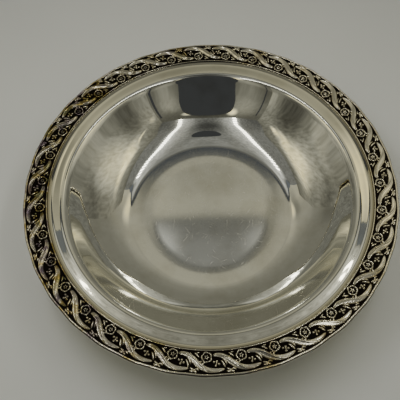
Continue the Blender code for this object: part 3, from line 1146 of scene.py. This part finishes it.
    def build(self, finish: Material) -> list[Object]:
        """Make every piece of the border.

        Args:
            finish: The oxidised plate.

        Returns:
            The ring and the five kinds of relief.
        """
        pieces = [self.make_ring(finish)]
        motifs = (
            (self.leaf, "border_leaves"), (self.flower, "border_flowers"), (self.berries, "border_berries"),
            (self.fronds, "border_fronds"), (self.buds, "border_buds")
        )
        for shape, name in motifs:
            pieces.append(self.repeat(shape(), name, finish))
        return pieces


@dataclass(frozen=True)
class StudioPaper:
    """Pale matt paper: an even light grey with no gloss."""

    name: str = "Pale paper, matt"
    pale: str = "#E4E5E1"
    roughness: float = 0.9
    fibre_mm: float = 60.0
    tone: Share = (0.98, 1.02)

    def make(self) -> Material:
        """Build the material."""
        material, tree = new_material(self.name)
        place = add_node(tree, "ShaderNodeTexCoord").outputs["Object"]
        fibre = add_node(tree, "ShaderNodeTexNoise", {"Vector": place, "Scale": per_metre(self.fibre_mm)})
        tone = add_node(tree, "ShaderNodeMapRange", (fibre, 0.0, 1.0, *self.tone))
        toned = {0: linear(self.pale)[:3], "Scale": tone}
        colour = add_node(tree, "ShaderNodeVectorMath", toned, operation="SCALE")
        values = {"Base Color": colour, "Roughness": self.roughness}
        shader = add_node(tree, "ShaderNodeBsdfPrincipled", values)
        add_node(tree, "ShaderNodeOutputMaterial", {"Surface": shader})
        return material


@dataclass(frozen=True)
class Glow:
    """A soft patch of light or shade on the tent's cloth, in millimetres.

    A level over zero adds light. One under zero takes that share of the light away.
    """

    centre: Point
    radii: Point
    level: float


@dataclass
class LightTent:
    """A small tent of pale cloth round the bowl, with a grey foil top and two strips of lamps.

    The camera doesn't see it. It lights the paper and is what the metal mirrors. Its sizes are
    in metres, worked out from the places of its edges and lamps in the bowl's reflections.
    """

    left: float = -0.269
    right: float = 0.242
    front: float = -0.246
    back: float = 0.214
    top: float = 0.444
    hem_half: float = 0.0042
    hem_bow: float = 0.011
    hem_bow_x: float = 0.11
    hem_bow_power: float = 5.5
    hem_bow_most: float = 0.043
    hem_flare: float = 0.2
    hem_steps: int = 96
    hem_thinnest: float = 0.12
    hem_end: Share = (0.15, 0.172)
    hem_colour: str = "#EAF4FF"
    hem_glows: Share = (0.075, 0.17)
    hem_fade: Share = (0.112, 0.145)
    rear_fade: Share = (0.178, 0.21)
    lamp_fade: float = 0.016
    outer_fall: float = 2.6
    lamp_middle: float = 0.002
    lamp_x: float = 0.1295
    lamp_front: float = -0.238
    lamp_backs: Share = (0.134, 0.146)
    lamp_step: float = 0.012
    lamp_size: Share = (0.019, 0.0066)
    lamp_glow: float = 9.0
    lamp_colour: str = "#FFFFF2"
    foil_colour: str = "#FDFFF6"
    # Each is a distance from the lamps, the glow at them and the glow that far away.
    foil_level: Point = (0.1, 0.62, 0.19)
    foil_beam: Point = (0.03, 0.6, 0.0)
    foil_rear: float = 0.66
    crinkle_mm: float = 7.0
    crinkle_roughness: float = 0.75
    crinkle_cut: Share = (0.35, 0.65)
    crinkle_glow: Share = (0.65, 1.35)
    spill_size: Share = (0.07, 0.26)
    spill_place: Point = (0.14, 0.03, 0.425)
    spill_watts: Share = (0.34, 0.18)
    opening_middle: Share = (0.0, 0.28)
    opening_half: Share = (0.106, 0.135)
    opening_power: float = 0.7
    opening_steps: int = 32
    opening_colour: str = "#F4FAFF"
    opening_glow: float = 0.048
    hole_middle: Share = (0.005, -0.04)
    hole_radius: float = 0.04
    hole_steps: int = 24
    seams_x: Share = (-0.2316, 0.2205)
    seam_halves: Share = (0.0035, 0.006)
    seam_heights: Share = (0.12, 0.365)
    paper_half: float = 3.0
    paper_drop: float = 0.0002
    gap: float = 0.004
    cream: str = "#FFFEE8"
    warm: str = "#FFF4C0"
    warm_cut: Share = (0.25, 1.1)
    fold_lean: Point = (0.35, 0.35, 0.0)
    fold_size: Point = (0.011, 0.011, 0.055)
    fold_cut: Share = (0.3, 0.7)
    left_folds: float = 0.3
    right_folds: float = 0.26
    front_folds: float = 0.12
    back_folds: float = 0.02
    room_colour: str = "#E2E3E0"
    room_glow: float = 0.74
    # Each is a share of the tent's height, and the brightness there.
    left_levels: tuple[Share, ...] = (
        (0.1, 0.281), (0.28, 0.23), (0.46, 0.395), (0.64, 0.246), (0.82, 0.227), (1.0, 0.137),
    )
    right_levels: tuple[Share, ...] = (
        (0.1, 0.206), (0.28, 0.133), (0.46, 0.242), (0.64, 0.32), (0.82, 0.234), (1.0, 0.149),
    )
    back_levels: tuple[Share, ...] = (
        (0.1, 0.183), (0.28, 0.182), (0.46, 0.22), (0.64, 0.31), (0.82, 0.337), (1.0, 0.487),
    )
    front_levels: tuple[Share, ...] = (
        (0.0, 0.216), (0.3, 0.173), (0.44, 0.111), (0.58, 0.153),
        (0.72, 0.158), (0.86, 0.114), (1.0, 0.111),
    )
    left_glows: tuple[Glow, ...] = (
        Glow((-269, 59, 309), (60, 167, 120), 1.03), Glow((-269, -63, 327), (60, 88, 45), 0.84),
        Glow((-269, -118, 354), (60, 50, 31), 1.28), Glow((-269, 15, 121), (60, 126, 39), 0.17),
        Glow((-269, -123, 193), (60, 166, 184), -0.78), Glow((-269, 196, 157), (60, 127, 226), -0.48),
    )
    right_glows: tuple[Glow, ...] = (
        Glow((242, 38, 309), (60, 179, 60), 0.9), Glow((242, -98, 327), (60, 58, 12), 0.98),
        Glow((242, 39, 230), (60, 133, 209), 0.5), Glow((242, -205, 316), (60, 37, 43), 0.4),
        Glow((242, -117, 198), (60, 82, 178), -0.51), Glow((242, 100, 450), (60, 138, 37), -0.24),
        Glow((242, 206, 54), (60, 72, 116), -0.33),
    )
    front_glows: tuple[Glow, ...] = (
        Glow((-108, -246, 366), (36, 60, 71), 1.41), Glow((90, -246, 378), (42, 60, 36), 0.92),
        Glow((156, -246, 240), (74, 60, 126), 0.17), Glow((-153, -246, 292), (99, 60, 202), 0.15),
        Glow((9, -246, 365), (153, 60, 121), -0.95),
    )
    back_glows: tuple[Glow, ...] = (
        Glow((-155, 214, 405), (85, 60, 120), -0.42), Glow((-112, 214, 400), (36, 60, 60), 0.8),
        Glow((-86, 214, 344), (62, 60, 99), 0.14), Glow((130, 214, 425), (66, 60, 125), 0.72),
        Glow((76, 214, 309), (73, 60, 141), 0.05), Glow((-240, 214, 100), (79, 60, 124), -0.27),
        Glow((4, 214, 482), (100, 60, 119), -0.25),
    )
    top_glows: tuple[Glow, ...] = (
        Glow((2, 90, 444), (90, 140, 60), 0.08), Glow((-74, 166, 444), (46, 48, 60), 0.36),
        Glow((74, 166, 444), (46, 48, 60), 0.28), Glow((4, 90, 444), (28, 84, 60), -0.4),
        Glow((0, -150, 444), (100, 165, 60), -0.7), Glow((-146, 172, 444), (48, 34, 60), -0.85),
        Glow((146, 172, 444), (48, 34, 60), -0.8), Glow((-250, -230, 444), (120, 110, 60), -0.45),
        Glow((250, -230, 444), (120, 110, 60), -0.45),
    )

    def card(self, name: str, corners: list[Point], material: Material, faces: list | None = None) -> None:
        """Hang flat cards that the camera doesn't see.

        Args:
            name: Their name.
            corners: Their corners.
            material: Their glow.
            faces: The corners of each card by number, or nothing for one card with all of them.
        """
        mesh = bpy.data.meshes.new(name)
        mesh.from_pydata(corners, [], faces or [tuple(range(len(corners)))])
        mesh.materials.append(material)
        thing = link_object(name, mesh)
        thing.visible_camera = False

    def glow(self, name: str, colour: str, strength: float) -> Material:
        """Make an even glow.

        Args:
            name: The material's name.
            colour: Its sRGB colour.
            strength: Its brightness.

        Returns:
            The material.
        """
        material, tree = new_material(name)
        end_light(tree, linear(colour), strength)
        return material

    def patches(self, tree: NodeTree, place: NodeSocket, level: Node, glows: tuple[Glow, ...]) -> Node:
        """Add soft patches of light and shade to a cloth.

        Args:
            tree: The cloth's tree.
            place: The place on the cloth.
            level: The node that gives its brightness so far.
            glows: The patches.

        Returns:
            The node that gives the new brightness.
        """
        for patch in sorted(glows, key=lambda one: one.level):
            values = {"Vector": place, "Location": tuple(value * MM for value in patch.centre)}
            values["Scale"] = tuple(value * MM for value in patch.radii)
            near = add_node(tree, "ShaderNodeMapping", values, vector_type="TEXTURE")
            away = add_node(tree, "ShaderNodeVectorMath", (near,), operation="LENGTH").outputs["Value"]
            darkens = patch.level < 0.0
            edge = 1.0 if darkens else 0.0
            fall = (away, 1.0, 0.0, edge, edge + patch.level)
            soft = add_node(tree, "ShaderNodeMapRange", fall, interpolation_type="SMOOTHERSTEP")
            joined = "MULTIPLY" if darkens else "ADD"
            level = add_node(tree, "ShaderNodeMath", (level, soft), operation=joined)
        return level

    def cloth(
        self, name: str, levels: tuple[Share, ...], glows: tuple[Glow, ...], folds: float
    ) -> Material:
        """Make a lit cloth whose brightness changes with height.

        Args:
            name: The material's name.
            levels: (share of the tent's height, brightness), from the paper up.
            glows: Patches of light and shade on it.
            folds: How much the folds in the cloth change the brightness.

        Returns:
            The material.
        """
        material, tree = new_material(name)
        place = add_node(tree, "ShaderNodeTexCoord").outputs["Object"]
        height = add_node(tree, "ShaderNodeSeparateXYZ", (place,)).outputs["Z"]
        share = add_node(tree, "ShaderNodeMapRange", (height, 0.0, self.top))
        ramp = add_node(tree, "ShaderNodeValToRGB", (share,))
        elements = ramp.color_ramp.elements
        while len(elements) < len(levels):
            elements.new(0.5)
        for element, (position, value) in zip(elements, levels):
            element.position = position
            element.color = (value, value, value, 1.0)
        values = {"Vector": place, "Rotation": self.fold_lean, "Scale": self.fold_size}
        stretched = add_node(tree, "ShaderNodeMapping", values, vector_type="TEXTURE")
        noise = add_node(tree, "ShaderNodeTexNoise", {"Vector": stretched, "Scale": 1.0, "Detail": 3.0})
        fold = add_node(tree, "ShaderNodeMapRange", (noise, *self.fold_cut, 1.0 - folds, 1.0 + folds))
        lit = self.patches(tree, place, ramp, glows)
        strength = add_node(tree, "ShaderNodeMath", (lit, fold), operation="MULTIPLY")
        warmth = add_node(tree, "ShaderNodeMapRange", (lit, *self.warm_cut))
        values = {0: warmth, 6: linear(self.cream), 7: linear(self.warm)}
        tint = add_node(tree, "ShaderNodeMix", values, data_type="RGBA").outputs[2]
        end_light(tree, tint, strength)
        return material

    def foil(self) -> Material:
        """Make the crinkled foil of the tent's top, which glows along its lamps."""
        material, tree = new_material("Grey tent top")
        place = add_node(tree, "ShaderNodeTexCoord").outputs["Object"]
        parts = add_node(tree, "ShaderNodeSeparateXYZ", (place,)).outputs
        from_middle = (parts["X"], self.lamp_middle)
        across = add_node(tree, "ShaderNodeMath", from_middle, operation="SUBTRACT")
        side = add_node(tree, "ShaderNodeMath", (across,), operation="ABSOLUTE")
        gap = add_node(tree, "ShaderNodeMath", (side, self.lamp_x), operation="SUBTRACT")
        outside, inside = (
            add_node(tree, "ShaderNodeMath", (gap, slope), operation="MULTIPLY")
            for slope in (self.outer_fall, -1.0)
        )
        away = add_node(tree, "ShaderNodeMath", (outside, inside), operation="MAXIMUM")
        level, beam = (
            add_node(
                tree, "ShaderNodeMapRange", (away, 0.0, *fall), interpolation_type="SMOOTHERSTEP"
            ) for fall in (self.foil_level, self.foil_beam)
        )
        fade = self.lamp_fade / 2
        ends = (min(self.lamp_backs) - fade, max(self.lamp_backs) + fade)
        beam_end = add_node(tree, "ShaderNodeMapRange", (parts["Y"], *ends, 1.0, 0.0))
        rear = add_node(tree, "ShaderNodeMapRange", (parts["Y"], *self.rear_fade, 1.0, self.foil_rear))
        ended = add_node(tree, "ShaderNodeMath", (beam, beam_end), operation="MULTIPLY")
        both = add_node(tree, "ShaderNodeMath", (level, ended), operation="ADD")
        lit = add_node(tree, "ShaderNodeMath", (both, rear), operation="MULTIPLY")
        values = {"Vector": place, "Scale": per_metre(self.crinkle_mm), "Detail": 3.0}
        values["Roughness"] = self.crinkle_roughness
        crinkle = add_node(tree, "ShaderNodeTexNoise", values)
        sparkle = add_node(tree, "ShaderNodeMapRange", (crinkle, *self.crinkle_cut, *self.crinkle_glow))
        foiled = add_node(tree, "ShaderNodeMath", (lit, sparkle), operation="MULTIPLY")
        end_light(tree, linear(self.foil_colour), self.patches(tree, place, foiled, self.top_glows))
        return material

    def wall(self, side: Wall, material: Material) -> None:
        """Hang one side of the tent.

        Args:
            side: Which side.
            material: Its cloth.
        """
        left, right = (self.left, self.front), (self.right, self.front)
        far_left, far_right = (self.left, self.back), (self.right, self.back)
        start, end = {
            Wall.LEFT: (left, far_left), Wall.RIGHT: (far_right, right), Wall.FRONT: (right, left),
            Wall.BACK: (far_left, far_right)
        }[side]
        corners = [(*start, 0.0), (*end, 0.0), (*end, self.top), (*start, self.top)]
        self.card(f"tent_{side.value}", corners, material)

    def hem_dark(self) -> Material:
        """Make the hem's dark cloth, which is thinner and so lighter at its ends."""
        material, tree = new_material("Dark hem")
        place = add_node(tree, "ShaderNodeTexCoord").outputs["Object"]
        across = add_node(tree, "ShaderNodeSeparateXYZ", (place,)).outputs["X"]
        side = add_node(tree, "ShaderNodeMath", (across,), operation="ABSOLUTE")
        level = add_node(tree, "ShaderNodeMapRange", (side, *self.hem_fade, *self.hem_glows))
        end_light(tree, linear(self.hem_colour), level)
        return material

    def hem(self, cloth: Material) -> None:
        """Hang the dark hem, which bows forward at its ends, and the fold of cloth behind it.

        Args:
            cloth: The fold's cloth.
        """
        level = self.top - self.gap / 2
        dark = self.hem_dark()
        line = []
        for step in range(self.hem_steps + 1):
            x = self.left + (self.right - self.left) * step / self.hem_steps
            bow = min(self.hem_bow * abs(x / self.hem_bow_x) ** self.hem_bow_power, self.hem_bow_most)
            left_over = (self.hem_end[1] - abs(x)) / (self.hem_end[1] - self.hem_end[0])
            half = (self.hem_half + self.hem_flare * bow) * min(max(left_over, self.hem_thinnest), 1.0)
            line.append((x, self.back - self.hem_half - bow, half))
        near = [(x, y - half, level) for x, y, half in line]
        far = [(x, min(y + half, self.back), level) for x, y, half in line]
        wall = [(x, self.back + self.gap, level) for x, _, _ in line]
        self.card("tent_hem", near + far[::-1], dark)
        self.card("tent_fold", far + wall[::-1], cloth)

    def openings(self) -> None:
        """Set the tent's dark openings and seams, as dark cards just inside its cloth."""
        dark = self.glow("Dark opening", self.opening_colour, self.opening_glow)
        power, front, level = self.opening_power, self.front + self.gap, self.top - self.gap
        corners = []
        for step in range(self.opening_steps):
            angle = step / self.opening_steps * math.tau
            across, rise = (
                math.copysign(abs(turn) ** power, turn) * half
                for turn, half in zip((math.cos(angle), math.sin(angle)), self.opening_half)
            )
            corners.append((self.opening_middle[0] + across, front, self.opening_middle[1] + rise))
        self.card("tent_opening", corners, dark)
        corners = []
        for step in range(self.hole_steps):
            angle = step / self.hole_steps * math.tau
            x = self.hole_middle[0] + self.hole_radius * math.cos(angle)
            corners.append((x, self.hole_middle[1] + self.hole_radius * math.sin(angle), level))
        self.card("tent_hole", corners, dark)
        low, high = self.seam_heights
        for number, (x, half) in enumerate(zip(self.seams_x, self.seam_halves)):
            places = ((x - half, low), (x + half, low), (x + half, high), (x - half, high))
            self.card(f"tent_seam_{number}", [(across, front, rise) for across, rise in places], dark)

    def lamps(self) -> None:
        """Set the two rows of small lamps under the top."""
        corners, faces = [], []
        half, deep = self.lamp_size[0] / 2, self.lamp_size[1] / 2
        level = self.top - self.gap
        for sign, back in zip((-1.0, 1.0), self.lamp_backs):
            side = self.lamp_middle + sign * self.lamp_x
            for number in range(int((back - self.lamp_front) / self.lamp_step)):
                y = self.lamp_front + number * self.lamp_step
                faces.append(tuple(range(len(corners), len(corners) + 4)))
                corners += [(side - half, y - deep, level), (side + half, y - deep, level)]
                corners += [(side + half, y + deep, level), (side - half, y + deep, level)]
        self.card("tent_lamps", corners, self.glow("White lamps", self.lamp_colour, self.lamp_glow), faces)

    def build(self) -> None:
        """Set up the paper, the tent and the light outside it."""
        size = self.paper_half
        mesh = bpy.data.meshes.new("paper")
        corners = [(-size, -size), (size, -size), (size, size), (-size, size)]
        mesh.from_pydata([(x, y, -self.paper_drop) for x, y in corners], [], [(0, 1, 2, 3)])
        mesh.materials.append(StudioPaper().make())
        link_object("paper", mesh)
        back = self.cloth("Back cloth", self.back_levels, self.back_glows, self.back_folds)
        left = self.cloth("Left cloth", self.left_levels, self.left_glows, self.left_folds)
        self.wall(Wall.LEFT, left)
        right = self.cloth("Right cloth", self.right_levels, self.right_glows, self.right_folds)
        self.wall(Wall.RIGHT, right)
        front = self.cloth("Front cloth", self.front_levels, self.front_glows, self.front_folds)
        self.wall(Wall.FRONT, front)
        self.wall(Wall.BACK, back)
        near = [(self.left, self.front, self.top), (self.right, self.front, self.top)]
        far = [(self.right, self.back, self.top), (self.left, self.back, self.top)]
        self.card("tent_top", near + far, self.foil())
        self.hem(back)
        self.openings()
        self.lamps()
        for side, watts in zip((-1.0, 1.0), self.spill_watts):
            light = bpy.data.lights.new("spill", "AREA")
            light.shape = "RECTANGLE"
            light.size, light.size_y = self.spill_size
            light.energy = watts
            thing = bpy.data.objects.new("spill", light)
            thing.location = (side * self.spill_place[0], *self.spill_place[1:])
            thing.visible_glossy = False
            bpy.context.scene.collection.objects.link(thing)
        world = bpy.data.worlds.new("Pale room")
        world.use_nodes = True
        background = world.node_tree.nodes["Background"]
        background.inputs["Color"].default_value = linear(self.room_colour)
        background.inputs["Strength"].default_value = self.room_glow
        bpy.context.scene.world = world


@dataclass(frozen=True)
class PhotoCamera:
    """The photograph's camera, as worked out from the rim and the flowers' places."""

    centre_height: float = 0.0442
    distance: float = 0.4231
    elevation: float = 60.99
    yaw: float = -0.87
    pitch: float = 0.99
    roll: float = 1.61
    sensor_mm: float = 36.0
    lens_mm: float = 59.27
    clip_start: float = 0.01

    def build(self) -> None:
        """Set up the camera and make it the scene's own."""
        rise = math.radians(self.elevation)
        back = Vector((0.0, -math.cos(rise), math.sin(rise)))
        right = Vector((1.0, 0.0, 0.0))
        base = Matrix((right, back.cross(right), back))
        turned = Matrix.Rotation(math.radians(self.yaw), 3, "Y")
        tipped = Matrix.Rotation(math.radians(self.pitch), 3, "X")
        rolled = Matrix.Rotation(math.radians(self.roll), 3, "Z")
        to_camera = rolled @ tipped @ turned @ base
        data = bpy.data.cameras.new("photo_camera")
        data.sensor_width = self.sensor_mm
        data.lens = self.lens_mm
        data.clip_start = self.clip_start
        camera = bpy.data.objects.new("photo_camera", data)
        bpy.context.scene.collection.objects.link(camera)
        place = Matrix.Translation(back * self.distance + Vector((0.0, 0.0, self.centre_height)))
        camera.matrix_world = place @ to_camera.transposed().to_4x4()
        bpy.context.scene.camera = camera


def settle(piece: Object, node: str) -> None:
    """Tell the frame what a finished piece stands for, and report it.

    Args:
        piece: The finished piece.
        node: The CAD node that it replaces.
    """
    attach(piece, BODY)
    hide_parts(node)
    log.info("%s: %d faces, for %s", piece.name, len(piece.data.polygons), node)


def main() -> None:
    """Dress every piece of the bowl and set up its studio."""
    plate = PolishedPlate().make()
    oxidised = OxidisedPlate().make()
    solder = SoftSolder().make()
    settle(BowlBody().build(plate), "bowl_body")
    settle(FootRing().build(plate), "foot_ring")
    for piece in RimBorder().build(oxidised):
        settle(piece, "rim_border")
    for name in ("foot_solder_outer", "foot_solder_inner", "rim_solder"):
        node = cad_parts[name]
        node.data.materials.clear()
        node.data.materials.append(solder)
        log.info("%s: kept from the frame", name)
    LightTent().build()
    PhotoCamera().build()


if __name__ == "__main__":
    main()
